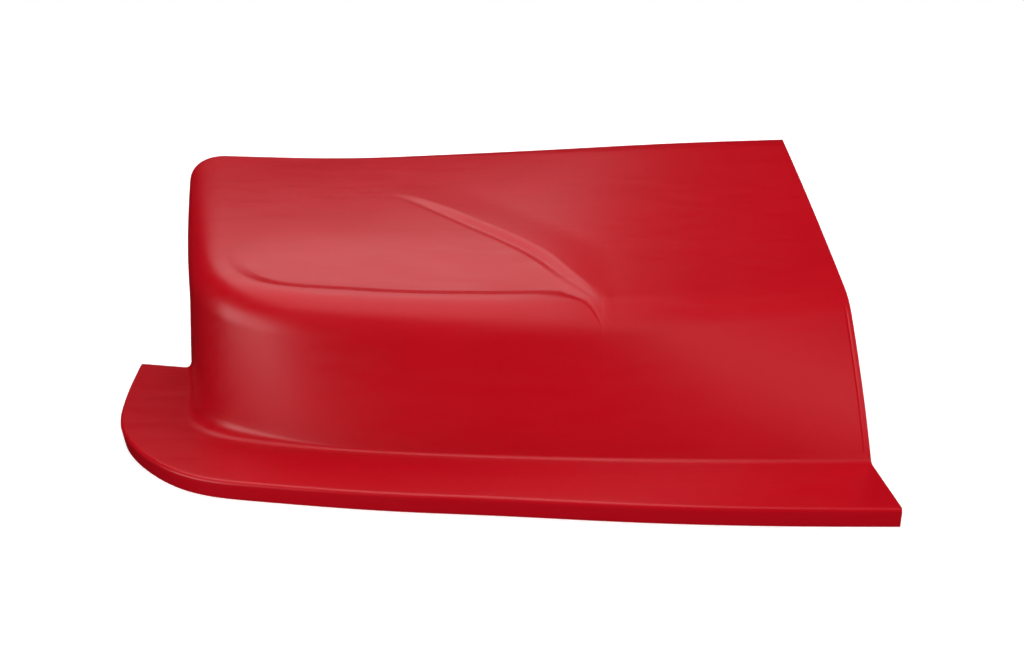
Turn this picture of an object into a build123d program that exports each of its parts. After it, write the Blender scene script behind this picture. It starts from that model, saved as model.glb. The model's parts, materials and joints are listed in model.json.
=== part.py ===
from build123d import *
import math
import os
import numpy as np

# Right-hand half of a two-piece race-car nose, with the joint, stiffening and
# bracing hardware it carries on its inside. All sizes are in millimetres.
#
# The shape is first worked out as  s = out from the car's centre line,
# b = back from the front of the lip, h = up from the top of the lip.
# row_frame() turns that into the part's own frame: +X to the car's centre line,
# +Y to the rear, +Z up, with the origin on the centre joint face.
ORIGIN_B = 432.0
ORIGIN_H = 196.0

# ---- driving sizes of the moulding
SKIN = 3.2            # sheet thickness
DEGREE = 5            # points per surface patch, each way
REAR = 864.0          # how far back the deck's rear edge is
EDGE_ROUND = 5.0      # rounding along the front of the lip
LIP_DROP = 1.0        # how much the lip falls towards its front
FLANGE = 25.0         # height of the lip's turned-down front
FLANGE_TUCK = 4.0     # how far the flange leans in at its bottom

# Stations round the nose, from the centre line to the wheel opening.
LIP = [(0, 0), (180, 3), (340, 16), (480, 34), (620, 50),
       (790, 83), (905, 139), (985, 249), (1034, 410), (1061, 618)]
FOOT = [(0, 152), (160, 154), (300, 160), (430, 169), (570, 183),
        (730, 211), (838, 254), (893, 312), (930, 420), (973, 590)]
KNEE = [(0, 325), (160, 302), (300, 272), (430, 250), (570, 240),
        (730, 247), (843, 283), (898, 346), (945, 490), (1017, 864)]
FACE_BOW = [0.23, 0.22, 0.20, 0.18, 0.15, 0.12, 0.10, 0.15, 0.30, 0.50]
FACE_SETBACK = [26, 32, 40, 46, 50, 50, 46, 48, 54, 62]
DECK_SETBACK = [26, 28, 30, 32, 32, 34, 40, 48, 54, 62]
FOOT_ROUND = [6, 6, 6, 6, 6, 9, 20, 22, 14, 12]
INWARD_DEG = [0, 0, 2, 4, 8, 18, 42, 66, 78, 90]
REAR_END = [0, 150, 280, 400, 520, 630, 700, 740, 770, 800]

# Deck: its front line and its rear edge, read against s.
DECK_S = [0, 160, 300, 430, 570, 730, 845, 905, 1000]
DECK_FRONT_B = [325, 300, 268, 246, 240, 246, 260, 275, 300]
DECK_FRONT_H = [177, 177, 178, 181, 185, 190, 194, 196, 199]
REAR_S = [0, 200, 400, 600, 700, 780, 850, 960]
REAR_H = [327.5, 320.5, 310, 300.5, 296.5, 295.5, 296.5, 299.5]
CROWN_S = [0, 300, 600, 800, 1000]
CROWN = [0.10, 0.16, 0.30, 0.30, 0.25]

# Lamp-shaped recess: its ledge in front and its step behind, both measured back from
# the knuckle and read against the way round the nose.
RECESS_AT = [330, 345, 360, 375, 400, 425, 470, 540, 635, 700, 820, 960, 1070, 1219]
LEDGE = [-82, -30, 4, 18, 31, 38, 40, 40, 41, 43, 36, 31, 30, 30]
STEP = [-72, -8, 31, 58.5, 99, 141, 199.5, 268, 350, 393, 430, 397, 251, 90]
TIP_AT = RECESS_AT[0]   # the recess starts here in a point
TIP_RUN = 130.0
OUTER_AT = 780.0      # the ledge runs out from here outwards
OUTER_RUN = 210.0
LEDGE_WIDTH = 28.0    # the ledge falls back to the lower floor over this width
LEDGE_DEPTH = 6.0
FLOOR_RUN = 180.0     # the floor climbs back towards the deck over this length
STEP_WIDTH = 18.0
STEP_DEPTH = 1.5      # what is left of the floor's depth at the foot of the step
VALLEY_WIDTH = 12.0   # narrow valley along the foot of the step
VALLEY_DEPTH = 1.2
CREST = 3.0           # low crest along the top of the step
CREST_BEHIND = 100.0  # how far it reaches behind the step
CREST_TIP_RUN = 100.0
SOFT_FROM = 560.0     # from here outwards the step softens away
SOFT_RUN = 220.0

GROOVE_AT = 7.0       # joggle groove beside the centre edge
GROOVE_WIDTH = 5.0
GROOVE_DEPTH = 1.2

# ---- hardware on the inside
ON_BASE = (Align.CENTER, Align.CENTER, Align.MIN)
BOND = 0.2            # bond line between the moulding and what is stuck to it
FIT = 0.05            # radial clearance of a pin or insert in its hole
PAST = 1.5            # how far a hole through a curved strip is cut past its faces
THREAD_R = 2.5        # M6 thread, minor radius

CENTRE_FLANGE = 27.0  # depth of the moulding's centre joint flange
FLANGE_THICK = 3.2
FLANGE_FROM = 30.0    # where it starts, along the centre line from the face's foot
FLANGE_SHORT = 10.0   # how far short of the rear edge it ends
STRIP_THICK = 3.0     # centre backing strip
STRIP_INSET = 10.0    # its ends, inside the flange's ends
STRIP_EDGE = 2.0      # its lower edge, inside the flange's
STRIP_TOP = 3.0       # its upper edge, below the moulding
INSERT_AT = [70, 170, 320, 440, 560, 680, 775]   # along the centre line, from the face's foot
INSERT_DEPTH = 15.0   # centre inserts, below the surface
INSERT_LENGTH = 15.0
INSERT_R = THREAD_R + 2.1
INSERT_BULGE = 1.2    # how much wider the set insert is behind the strip
INSERT_BULGE_LENGTH = 3.5
CONE = 0.9            # depth of its countersunk head
HOLE_BREAK = 0.8      # broken edge of the insert holes

ANGLE_FROM, ANGLE_TO = 90.0, 620.0               # lip angle, out from the centre line
ANGLE_B = 85.0
ANGLE_TOP = 25.0      # its bonded leg
ANGLE_DROP = 18.0     # its hanging leg
ANGLE_THICK = 3.0
ANGLE_H = -SKIN - LIP_DROP
CLIP_AT = [130, 245, 360, 475, 590]
CLIP_H = ANGLE_H - 10.0
CLIP_HOLE_R = 4.5
CLIP_HALF = 7.0       # clip nut: half width, height over the leg, thickness, play
CLIP_HEIGHT = 14.0
CLIP_THICK = 1.0
CLIP_PLAY = 0.1
CLIP_BARREL = 6.0
CLIP_BARREL_R = THREAD_R + 1.8

STIFFENER_FROM, STIFFENER_TO = 40.0, 880.0       # strip under the rear edge
STIFFENER_FRONT, STIFFENER_BACK = 815.0, 852.0
STIFFENER_THICK = 2.5
STUD_AT = [110, 340, 570, 800]
STUD_B = 833.0
STUD_R = 3.0
STUD_LENGTH = 18.0
STUD_SEAT = 0.1       # gap between a stud, the strip and its collar
STUD_COLLAR = 1.2
STUD_COLLAR_R = 4.5
STUD_LEAD = 0.8

EDGE_ROD_R = 4.75     # rod behind the wheel opening's edge
EDGE_ROD_IN = 22.0    # how far in from the edge it runs
EDGE_ROD_OFF = 9.8    # its centre, from the moulding's inner face
SADDLE_R = 7.2
SADDLE_WIDTH = 12.0
SADDLE_FOOT = (2.4, 22.0)   # thickness and length of its foot
SADDLE_FIT = 0.3
SADDLE_GAP = 0.8      # adhesive under its foot

BRACE_AT = {"inner": 250.0, "outer": 700.0}      # brace pivots, out from the centre line
BRACE_B = 785.0
PAD = (56.0, 44.0, 2.5)
PIVOT_DROP = 34.0     # pivot below the deck's outer surface
PIVOT_R = 3.95        # M8 shank
EAR_GAP = 8.0
EAR_THICK = 3.0
EAR_R = 13.0
EAR_FACE = EAR_GAP / 2 + EAR_THICK
WASHER_THICK = 1.6
WASHER_R = 8.0
CLAMP_FACE = EAR_FACE + WASHER_THICK
BOLT_FLATS = 13.0
HEAD = 5.3
NUT = 8.0
BOLT_END = 2.0        # thread standing out of the locknut
TAB_THICK = 7.6
TUBE_R = 9.5
TUBE_BORE_R = 7.85
TUBE_SHOULDER = 20.0  # below the pivot
TUBE_END = 165.0
ROD_R = 7.8
ROD_TOP = 55.0
ROD_EYE = 208.0
ROD_EYE_R = 9.0
COLLAR_R = 14.0
COLLAR_WIDTH = 12.0
COLLAR_LOW = TUBE_END - 2
COLLAR_MID = COLLAR_LOW - COLLAR_WIDTH / 2
COLLAR_SPLIT = 2.5
LUG = 14.0            # the collar's clamping lug, square
LUG_Y = COLLAR_R + 3.0
SCREW_R = 2.0
SCREW_HEAD_R = 3.5
SCREW_HEAD = 4.0
SCREW_NUT = 3.0
SCREW_KEY = 3.0       # hexagon socket


def spline(knots, values, where):
    """Natural cubic spline through the values at the knots, read at 'where'."""
    x = np.asarray(knots, float)
    y = np.asarray(values, float)
    gap = np.diff(x)
    count = len(x)
    system = np.eye(count)
    right = np.zeros(y.shape)
    for i in range(1, count - 1):
        system[i, i - 1:i + 2] = gap[i - 1], 2 * (gap[i - 1] + gap[i]), gap[i]
        right[i] = 6 * ((y[i + 1] - y[i]) / gap[i] - (y[i] - y[i - 1]) / gap[i - 1])
    bend = np.linalg.solve(system, right)
    t = np.clip(np.asarray(where, float), x[0], x[-1])
    i = np.clip(np.searchsorted(x, t, side="right") - 1, 0, count - 2)
    width = gap[i]
    before = t - x[i]
    after = x[i + 1] - t
    if y.ndim > 1 and t.ndim > 0:
        width, before, after = width[:, None], before[:, None], after[:, None]
    cubic = (bend[i] * after ** 3 + bend[i + 1] * before ** 3) / (6 * width)
    low = (y[i] / width - bend[i] * width / 6) * after
    high = (y[i + 1] / width - bend[i + 1] * width / 6) * before
    return cubic + low + high


STATIONS = np.concatenate([[0], np.cumsum(np.hypot(*np.diff(np.array(FOOT, float), axis=0).T))])
ROUND = STATIONS[-1]


def at(table, t):
    return spline(STATIONS, table, t)


def unit(vector):
    return vector / np.linalg.norm(vector)


def smooth(x):
    """0 to 1 with no corner at either end."""
    x = np.clip(x, 0, 1)
    return x * x * (3 - 2 * x)


def ramp(x, corner=0.3):
    """0 to 1 along a straight slope with a short rounding at each end."""
    x = np.clip(x, 0, 1)
    slope = 1 / (1 - corner)
    start = slope * x * x / (2 * corner)
    middle = slope * (x - corner / 2)
    end = 1 - slope * (1 - x) ** 2 / (2 * corner)
    return np.where(x < corner, start, np.where(x > 1 - corner, end, middle))


def straight(start, end, count):
    w = np.linspace(0, 1, count)[:, None]
    return start + (end - start) * w


def bezier(p0, p1, p2, p3, count):
    w = np.linspace(0, 1, count)[:, None]
    return p0 * (1 - w) ** 3 + 3 * p1 * w * (1 - w) ** 2 + 3 * p2 * w * w * (1 - w) + p3 * w ** 3


def lengths(points):
    return np.concatenate([[0], np.cumsum(np.linalg.norm(np.diff(points, axis=0), axis=1))])


def deck_height(s, b):
    """Height of the plain deck, without the recess."""
    front_b = spline(DECK_S, DECK_FRONT_B, s)
    front_h = spline(DECK_S, DECK_FRONT_H, s)
    rear_h = spline(REAR_S, REAR_H, s)
    w = (b - front_b) / (REAR - front_b)
    return front_h + (rear_h - front_h) * (w + spline(CROWN_S, CROWN, s) * w * (1 - w))


def upper_path(t, count=400):
    """The line from the foot of the face over the knuckle to the rear edge."""
    foot = at(FOOT, t)
    knee = at(KNEE, t)
    turn = math.radians(float(at(INWARD_DEG, t)))
    inward = np.array([-math.sin(turn), math.cos(turn)])
    end = np.array([float(at(REAR_END, t)), REAR])
    reach = 0.35 * np.linalg.norm(end - knee)
    rearward = np.array([0, reach * (1 - (t / ROUND) ** 4)])
    plan = bezier(knee, knee + inward * reach, end - rearward, end, count)
    deck = np.column_stack([plan, deck_height(plan[:, 0], plan[:, 1])])
    q = np.linspace(0, 1, count)[:, None]
    bowed = q - float(at(FACE_BOW, t)) * q * (1 - q)
    face = np.hstack([foot + (knee - foot) * bowed, deck[0, 2] * q])
    face_setback = float(at(FACE_SETBACK, t))
    deck_setback = float(at(DECK_SETBACK, t))
    up = lengths(face)
    i = int(np.searchsorted(up, up[-1] - face_setback))
    j = int(np.searchsorted(lengths(deck), deck_setback))
    leave = unit(face[i] - face[i - 1]) * face_setback * 0.6
    arrive = unit(deck[j + 1] - deck[j]) * deck_setback * 0.6
    bend = bezier(face[i], face[i] + leave, deck[j] - arrive, deck[j], 60)
    path = np.vstack([face[:i], bend, deck[j + 1:]])
    along = lengths(path)
    return path, along, along[i + 30]


def along_path(path, along, where):
    return np.column_stack([np.interp(where, along, path[:, k]) for k in range(3)])


def slant(line, t):
    """How much longer a width across a line becomes when measured along the path."""
    t = max(t, TIP_AT + 1)
    turn = (spline(RECESS_AT, line, t + 1) - spline(RECESS_AT, line, t - 1)) / 2
    return float(np.hypot(1, turn))


def step_curve():
    """The step seen from above, and how far round the nose each of its points is."""
    rounds = np.linspace(TIP_AT, SOFT_FROM + SOFT_RUN, 100)
    points = []
    for t in rounds:
        path, along, knuckle = upper_path(t)
        points.append(along_path(path, along, [knuckle + spline(RECESS_AT, STEP, t)])[0, :2])
    finer = np.linspace(rounds[0], rounds[-1], 1000)
    return np.column_stack([np.interp(finer, rounds, axis) for axis in np.array(points).T]), finer


STEP_POINTS, STEP_ROUND = step_curve()


def relief(t, where, line, ledge, ledge_width, step):
    """How far one line stands above the plain deck (below it where negative)."""
    away = np.linalg.norm(line[:, None, :2] - STEP_POINTS[None], axis=2)
    nearest = STEP_ROUND[away.argmin(axis=1)]
    away = away.min(axis=1)
    # the step with its crest grows from the tip and softens away outwards
    grown = smooth((nearest - TIP_AT) / CREST_TIP_RUN)
    firm = grown * (1 - smooth((nearest - SOFT_FROM) / SOFT_RUN))
    behind = CREST * firm * (1 - smooth(away / (CREST_BEHIND * (0.3 + 0.7 * grown))))
    valley = VALLEY_DEPTH * firm * (1 - smooth(away / VALLEY_WIDTH))
    # the floor, sunk behind the ledge
    tip = smooth((t - TIP_AT) / TIP_RUN)
    outer = 1 - smooth((t - OUTER_AT) / OUTER_RUN)
    firm_here = 1 - smooth((t - SOFT_FROM) / SOFT_RUN)
    floor_start = ledge + ledge_width
    share = smooth((where - floor_start) / min(FLOOR_RUN, step - floor_start))
    depth = LEDGE_DEPTH + (STEP_DEPTH * firm_here - LEDGE_DEPTH) * share
    sunk = depth * tip * outer * ramp((where - ledge) / ledge_width)
    climb = ramp((where - step) / (STEP_WIDTH * slant(STEP, t)))
    return (behind + sunk) * climb - sunk - valley


def upper_line(t):
    """One line over the face and the deck, and its direction at the foot."""
    path, along, knuckle = upper_path(t)
    ledge = float(spline(RECESS_AT, LEDGE, t))
    step = float(spline(RECESS_AT, STEP, t))
    ledge_width = min(LEDGE_WIDTH * slant(LEDGE, t), 0.4 * (step - ledge))
    floor_end = step - 0.3 * (step - ledge - ledge_width)
    step_top = step + STEP_WIDTH * slant(STEP, t) + 1
    rear = along[-1] - knuckle
    stops = [float(at(FOOT_ROUND, t)) - knuckle, min(-45, ledge - 30), ledge - 1,
             ledge + ledge_width, floor_end, step_top, (step_top + rear) / 2, rear]
    counts = [5, 10, 10, 10, 10, 5, 10]
    runs = [np.linspace(a, b, n + 1)[:-1] for a, b, n in zip(stops, stops[1:], counts)]
    where = np.concatenate(runs + [[rear]])
    line = along_path(path, along, where + knuckle)
    line[:, 2] += relief(t, where, line, ledge, ledge_width, step)
    # joggle groove beside the centre edge, on the face only
    beside = math.cos(min(abs(t - GROOVE_AT) / (GROOVE_WIDTH / 2), 1) * math.pi / 2) ** 2
    on_face = smooth((where - where[0]) / 20) * (1 - smooth((where + 40) / 40))
    line[:, 1] += GROOVE_DEPTH * beside * on_face
    return line, unit(path[1] - path[0])


def section(t):
    """One line over the outer surface, from the flange's bottom to the rear edge."""
    upper, climb = upper_line(t)
    foot_round = float(at(FOOT_ROUND, t))
    foot = np.append(at(FOOT, t), 0)
    lip = np.append(at(LIP, t), -LIP_DROP)
    out = unit((lip - foot) * [1, 1, 0])
    down = np.array([0, 0, -1.0])
    pull = 0.55 * EDGE_ROUND
    edge_top = lip - out * EDGE_ROUND
    edge_front = lip + down * EDGE_ROUND
    bottom = lip + down * FLANGE - out * FLANGE_TUCK
    lip_foot = foot + out * foot_round
    return np.vstack([
        straight(bottom, edge_front, DEGREE + 1)[:-1],
        bezier(edge_front, edge_front - down * pull, edge_top + out * pull, edge_top, DEGREE + 1)[:-1],
        straight(edge_top, lip_foot, DEGREE + 1)[:-1],
        bezier(lip_foot, lip_foot - out * foot_round * 0.6,
               upper[0] - climb * foot_round * 0.6, upper[0], DEGREE + 1)[:-1],
        upper,
    ])


def surface_grid(columns):
    return np.array([section(t) for t in columns])


def normals(grid):
    """Outward unit normals of a grid of points."""
    round_way = np.gradient(grid, axis=0)
    up_way = np.gradient(grid, axis=1)
    normal = np.cross(round_way, up_way)
    normal /= np.linalg.norm(normal, axis=2, keepdims=True)
    normal[-1] = normal[-2]
    normal[grid[..., 0] < 0.01, 0] = 0
    normal[grid[..., 1] > REAR - 0.01, 1] = 0
    return normal / np.linalg.norm(normal, axis=2, keepdims=True)


def row_frame(points):
    """From s, b, h to the part's X, Y, Z."""
    points = np.asarray(points, float)
    return np.stack([-points[..., 0], points[..., 1] - ORIGIN_B, points[..., 2] - ORIGIN_H], -1)


def spot(s, b, h):
    return Vector(*row_frame([s, b, h]))


def bernstein(degree):
    """Values of the Bezier basis at evenly spaced points of a patch."""
    share = np.linspace(0, 1, degree + 1)
    choose = [math.comb(degree, k) for k in range(degree + 1)]
    return np.array([[choose[k] * u ** k * (1 - u) ** (degree - k) for k in range(degree + 1)]
                     for u in share])


def patch(points):
    """One Bezier face through a square block of points."""
    solve = np.linalg.inv(bernstein(len(points) - 1))
    poles = np.einsum("ai,ijk,bj->abk", solve, points, solve)
    return Face.make_bezier_surface([[Vector(*p) for p in row] for row in poles])


def curve(points):
    """One Bezier edge through a run of points."""
    poles = np.linalg.inv(bernstein(len(points) - 1)) @ points
    return Edge.make_bezier(*[Vector(*p) for p in poles])


def patches(grid):
    starts_t = range(0, grid.shape[0] - 1, DEGREE)
    starts_v = range(0, grid.shape[1] - 1, DEGREE)
    return [patch(grid[i:i + DEGREE + 1, j:j + DEGREE + 1]) for i in starts_t for j in starts_v]


def rim(outer, inner):
    """Ruled faces that close the gap between two matching lines of points."""
    return [Face.make_surface_from_curves(curve(outer[i:i + DEGREE + 1]), curve(inner[i:i + DEGREE + 1]))
            for i in range(0, len(outer) - 1, DEGREE)]


def sheet(grid, near, far):
    """Solid between two offsets of a grid, both measured inward from it."""
    normal = normals(grid)
    outer = row_frame(grid - normal * near)
    inner = row_frame(grid - normal * far)
    faces = patches(outer) + patches(inner)
    faces += rim(outer[0], inner[0]) + rim(outer[-1], inner[-1])
    faces += rim(outer[:, 0], inner[:, 0]) + rim(outer[:, -1], inner[:, -1])
    return Solid(Shell(faces))


def main_columns():
    """Ways round the nose, closest together at the groove and at the recess's tip."""
    stops = [0, 15, TIP_AT, TIP_AT + 90, ROUND]
    counts = [2, 4, 4, 12]
    runs = [np.linspace(a, b, n * DEGREE + 1)[:-1] for a, b, n in zip(stops, stops[1:], counts)]
    return np.concatenate(runs + [[ROUND]])


# ---------------------------------------------------------------- the moulding
def centre_line(depth, start, end, count=40):
    """Points on the centre plane a given depth below the surface, as b, h pairs."""
    path, along, knuckle = upper_path(0)
    where = np.linspace(start, end, count)
    here = along_path(path, along, where)
    ahead = along_path(path, along, where + 1)
    tangent = (ahead - here) / np.linalg.norm(ahead - here, axis=1)[:, None]
    return np.column_stack([here[:, 1] + tangent[:, 2] * depth, here[:, 2] - tangent[:, 1] * depth])


def centre_band(top_depth, low_depth, start, end, near, far):
    """A flat band that follows the centre line, from 'near' to 'far' out from it."""
    top = [spot(near, b, h) for b, h in centre_line(top_depth, start, end)]
    low = [spot(near, b, h) for b, h in centre_line(low_depth, start, end)]
    outline = Wire([Spline(*top), Line(top[-1], low[-1]), Spline(*low), Line(low[0], top[0])])
    return extrude(Face(outline), amount=far - near, dir=(-1, 0, 0))


def centre_end():
    return lengths(upper_path(0)[0])[-1]


def insert_spots():
    points = [centre_line(INSERT_DEPTH, w, w + 1, 2)[0] for w in INSERT_AT]
    return [spot(0, b, h) for b, h in points]


def outward(point, length, radius, offset=0.0):
    """Cylinder along -X (out from the car's centre line), starting at the point."""
    start = point + Vector(-offset, 0, 0)
    return Plane(origin=start, z_dir=(-1, 0, 0)) * Cylinder(radius, length, align=ON_BASE)


def cone_out(point, radius, far_radius, depth):
    """Cone along -X, starting at the point."""
    plane = Plane(origin=point, z_dir=(-1, 0, 0))
    return plane * Cone(radius, far_radius, depth, align=ON_BASE)


def nose_skin():
    body = sheet(surface_grid(main_columns()), 0, SKIN)
    flange = centre_band(SKIN / 2, CENTRE_FLANGE, FLANGE_FROM, centre_end() - FLANGE_SHORT,
                         0, FLANGE_THICK)
    for point in insert_spots():
        flange -= outward(point, FLANGE_THICK, INSERT_R)
        flange -= cone_out(point, INSERT_R + CONE, INSERT_R, CONE)
        inside = point - Vector(FLANGE_THICK - HOLE_BREAK, 0, 0)
        flange -= cone_out(inside, INSERT_R, INSERT_R + HOLE_BREAK, HOLE_BREAK)
    return body + flange


def centre_backing_strip():
    far = FLANGE_THICK + STRIP_THICK
    strip = centre_band(SKIN + STRIP_TOP, CENTRE_FLANGE - STRIP_EDGE, FLANGE_FROM + 2 * STRIP_INSET,
                        centre_end() - FLANGE_SHORT - STRIP_INSET, FLANGE_THICK, far)
    for point in insert_spots():
        strip -= outward(point, far, INSERT_R)
        near_side = point - Vector(FLANGE_THICK, 0, 0)
        strip -= cone_out(near_side, INSERT_R + HOLE_BREAK, INSERT_R, HOLE_BREAK)
        far_side = point - Vector(far - HOLE_BREAK, 0, 0)
        strip -= cone_out(far_side, INSERT_R, INSERT_R + HOLE_BREAK, HOLE_BREAK)
    return strip


def centre_inserts():
    """Blind-side threaded inserts: flush head, plain body, bulge behind the strip."""
    body_r = INSERT_R - FIT
    through = FLANGE_THICK + STRIP_THICK
    inserts = []
    for point in insert_spots():
        body = outward(point, INSERT_LENGTH, body_r) + cone_out(point, body_r + CONE, body_r, CONE)
        body += outward(point, INSERT_BULGE_LENGTH, body_r + INSERT_BULGE, through)
        inserts.append(body - outward(point, INSERT_LENGTH, THREAD_R))
    return inserts


# ---------------------------------------------------------------- under the lip
def block(s_range, b_range, h_range):
    low = spot(s_range[1], b_range[0], h_range[0])
    high = spot(s_range[0], b_range[1], h_range[1])
    size = high - low
    return Pos(low) * Box(size.X, size.Y, size.Z, align=(Align.MIN, Align.MIN, Align.MIN))


def along_y(point, length, radius):
    return Plane(origin=point, z_dir=(0, 1, 0)) * Cylinder(radius, length, align=ON_BASE)


def lip_angle():
    span = (ANGLE_FROM, ANGLE_TO)
    leg = block(span, (ANGLE_B, ANGLE_B + ANGLE_TOP), (ANGLE_H - ANGLE_THICK, ANGLE_H))
    leg += block(span, (ANGLE_B, ANGLE_B + ANGLE_THICK), (ANGLE_H - ANGLE_DROP, ANGLE_H))
    for s in CLIP_AT:
        leg -= along_y(spot(s, ANGLE_B - 1, CLIP_H), ANGLE_THICK + 2, CLIP_HOLE_R)
    return leg


def lip_clip_nuts():
    """Spring-steel U nuts pushed up over the angle's hanging leg."""
    front = ANGLE_B - CLIP_PLAY - CLIP_THICK
    back = ANGLE_B + ANGLE_THICK + CLIP_PLAY
    low = ANGLE_H - ANGLE_DROP - CLIP_PLAY
    tall = (low - CLIP_THICK, low + CLIP_HEIGHT)
    clips = []
    for s in CLIP_AT:
        span = (s - CLIP_HALF, s + CLIP_HALF)
        clip = block(span, (front, front + CLIP_THICK), tall)
        clip += block(span, (back, back + CLIP_THICK), tall)
        clip += block(span, (front, back + CLIP_THICK), (low - CLIP_THICK, low))
        barrel = spot(s, front - CLIP_BARREL, CLIP_H)
        clip += along_y(barrel, CLIP_BARREL + CLIP_THICK, CLIP_BARREL_R)
        clips.append(clip - along_y(barrel, back + CLIP_THICK - front + CLIP_BARREL, THREAD_R))
    return clips


# ---------------------------------------------------------------- rear edge
def deck_patch(s_range, b_range, columns, rows):
    s = np.linspace(*s_range, columns * DEGREE + 1)[:, None]
    b = np.linspace(*b_range, rows * DEGREE + 1)[None, :]
    s, b = np.broadcast_arrays(s, b)
    return np.stack([s, b, deck_height(s.ravel(), b.ravel()).reshape(s.shape)], -1)


def deck_normal(s, b):
    rise_s = (deck_height(s + 1, b) - deck_height(s - 1, b)) / 2
    rise_b = (deck_height(s, b + 1) - deck_height(s, b - 1)) / 2
    return Vector(float(rise_s), -float(rise_b), 1).normalized()


def deck_spot(s, b):
    return spot(s, b, float(deck_height(s, b)))


def stud_places():
    depth = SKIN + BOND
    return [Plane(origin=deck_spot(s, STUD_B) - deck_normal(s, STUD_B) * depth,
                  z_dir=-deck_normal(s, STUD_B)) for s in STUD_AT]


def rear_stiffener():
    grid = deck_patch((STIFFENER_FROM, STIFFENER_TO), (STIFFENER_FRONT, STIFFENER_BACK), 8, 1)
    strip = sheet(grid, SKIN + BOND, SKIN + BOND + STIFFENER_THICK)
    for place in stud_places():
        strip -= place * Pos(0, 0, -PAST) * Cylinder(STUD_R + FIT, STIFFENER_THICK + 2 * PAST,
                                                     align=ON_BASE)
    return strip


def rear_studs():
    studs = []
    for place in stud_places():
        stud = Pos(0, 0, STUD_SEAT) * Cylinder(STUD_R, STUD_LENGTH - STUD_SEAT, align=ON_BASE)
        stud = chamfer(stud.edges().group_by(Axis.Z)[-1], STUD_LEAD)
        collar = Cylinder(STUD_COLLAR_R, STUD_COLLAR, align=ON_BASE)
        collar = Pos(0, 0, STIFFENER_THICK + STUD_SEAT) * collar
        studs.append(place * (stud + collar))
    return studs


# ---------------------------------------------------------------- wheel opening
def rod_line():
    """Centre points of the edge rod and the skin's outward normal there."""
    columns = np.array([ROUND - EDGE_ROD_IN - 2, ROUND - EDGE_ROD_IN, ROUND - EDGE_ROD_IN + 2])
    grid = surface_grid(columns)
    first = 4 * DEGREE + 1
    chosen = slice(first, first + DEGREE)
    normal = normals(grid)[1, chosen]
    centre = grid[1, chosen] - normal * (SKIN + EDGE_ROD_OFF)
    return row_frame(centre), normal * [-1, 1, 1]


def edge_rod():
    centre, _ = rod_line()
    path = Spline(*[Vector(*p) for p in centre])
    return sweep(Plane(origin=path @ 0, z_dir=path % 0) * Circle(EDGE_ROD_R), path=path)


def edge_rod_saddles():
    centre, normal = rod_line()
    saddles = []
    for k in (1, len(centre) // 2, len(centre) - 2):
        origin = Vector(*centre[k])
        along = Vector(*(centre[k + 1] - centre[k - 1])).normalized()
        up = Vector(*normal[k])
        up = (up - along * up.dot(along)).normalized()
        thick, long = SADDLE_FOOT
        foot = Pos(EDGE_ROD_OFF - SADDLE_GAP - thick / 2, 0, 0) * Box(thick, long, SADDLE_WIDTH)
        ring = Cylinder(SADDLE_R, SADDLE_WIDTH) + foot
        ring -= Cylinder(EDGE_ROD_R + SADDLE_FIT, SADDLE_WIDTH)
        saddles.append(Plane(origin=origin, x_dir=up, z_dir=along) * ring)
    return saddles


# ---------------------------------------------------------------- braces
def pivot_spot(s):
    return deck_spot(s, BRACE_B) - Vector(0, 0, PIVOT_DROP)


def across(point, length, radius):
    """Cylinder along X, centred on the point."""
    return Plane(origin=point, z_dir=(1, 0, 0)) * Cylinder(radius, length)


def brace_brackets():
    brackets = []
    for s in BRACE_AT.values():
        normal = deck_normal(s, BRACE_B)
        pad_at = deck_spot(s, BRACE_B) - normal * (SKIN + 2 * BOND + PAD[2] / 2)
        level = Plane(origin=pad_at, x_dir=Vector(1, 0, -normal.X / normal.Z), z_dir=normal)
        pad = level * Box(*PAD)
        above = level * Box(2 * PAD[0], 2 * PAD[1], 2 * PIVOT_DROP, align=ON_BASE)
        pivot = pivot_spot(s)
        bracket = pad
        height = pad_at.Z - pivot.Z + 3 * PAD[2]
        for side in (-1, 1):
            x = side * (EAR_GAP + EAR_THICK) / 2
            ear = Pos(pivot + Vector(x, 0, height / 2)) * Box(EAR_THICK, 2 * EAR_R, height)
            ear += across(pivot + Vector(x, 0, 0), EAR_THICK, EAR_R)
            bracket += ear - above
        brackets.append(bracket - across(pivot, 2 * EAR_FACE, PIVOT_R + FIT))
    return brackets


def hexagon(point, x, flats, height):
    """Hexagonal prism along X, centred x beside the point."""
    prism = extrude(RegularPolygon(flats / 2, 6, major_radius=False), height / 2, both=True)
    return Plane(origin=point + Vector(x, 0, 0), z_dir=(1, 0, 0)) * prism


def pivot_bolts():
    reach = CLAMP_FACE + NUT + BOLT_END
    bolts = []
    for s in BRACE_AT.values():
        pivot = pivot_spot(s)
        middle = pivot + Vector((CLAMP_FACE - reach) / 2, 0, 0)
        bolt = across(middle, CLAMP_FACE + reach, PIVOT_R)
        bolts.append(bolt + hexagon(pivot, CLAMP_FACE + HEAD / 2, BOLT_FLATS, HEAD))
    return bolts


def pivot_washers():
    washers = []
    for s in BRACE_AT.values():
        for side in (-1, 1):
            point = pivot_spot(s) + Vector(side * (EAR_FACE + WASHER_THICK / 2), 0, 0)
            hole = across(point, WASHER_THICK, PIVOT_R + FIT)
            washers.append(across(point, WASHER_THICK, WASHER_R) - hole)
    return washers


def pivot_locknuts():
    nuts = []
    for s in BRACE_AT.values():
        pivot = pivot_spot(s)
        nut = hexagon(pivot, -CLAMP_FACE - NUT / 2, BOLT_FLATS, NUT)
        nuts.append(nut - across(pivot, 2 * (CLAMP_FACE + NUT), PIVOT_R + FIT))
    return nuts


def hanging(point, top, bottom, radius):
    """Vertical cylinder between two depths below the point."""
    return Pos(point - Vector(0, 0, bottom)) * Cylinder(radius, bottom - top, align=ON_BASE)


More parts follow.
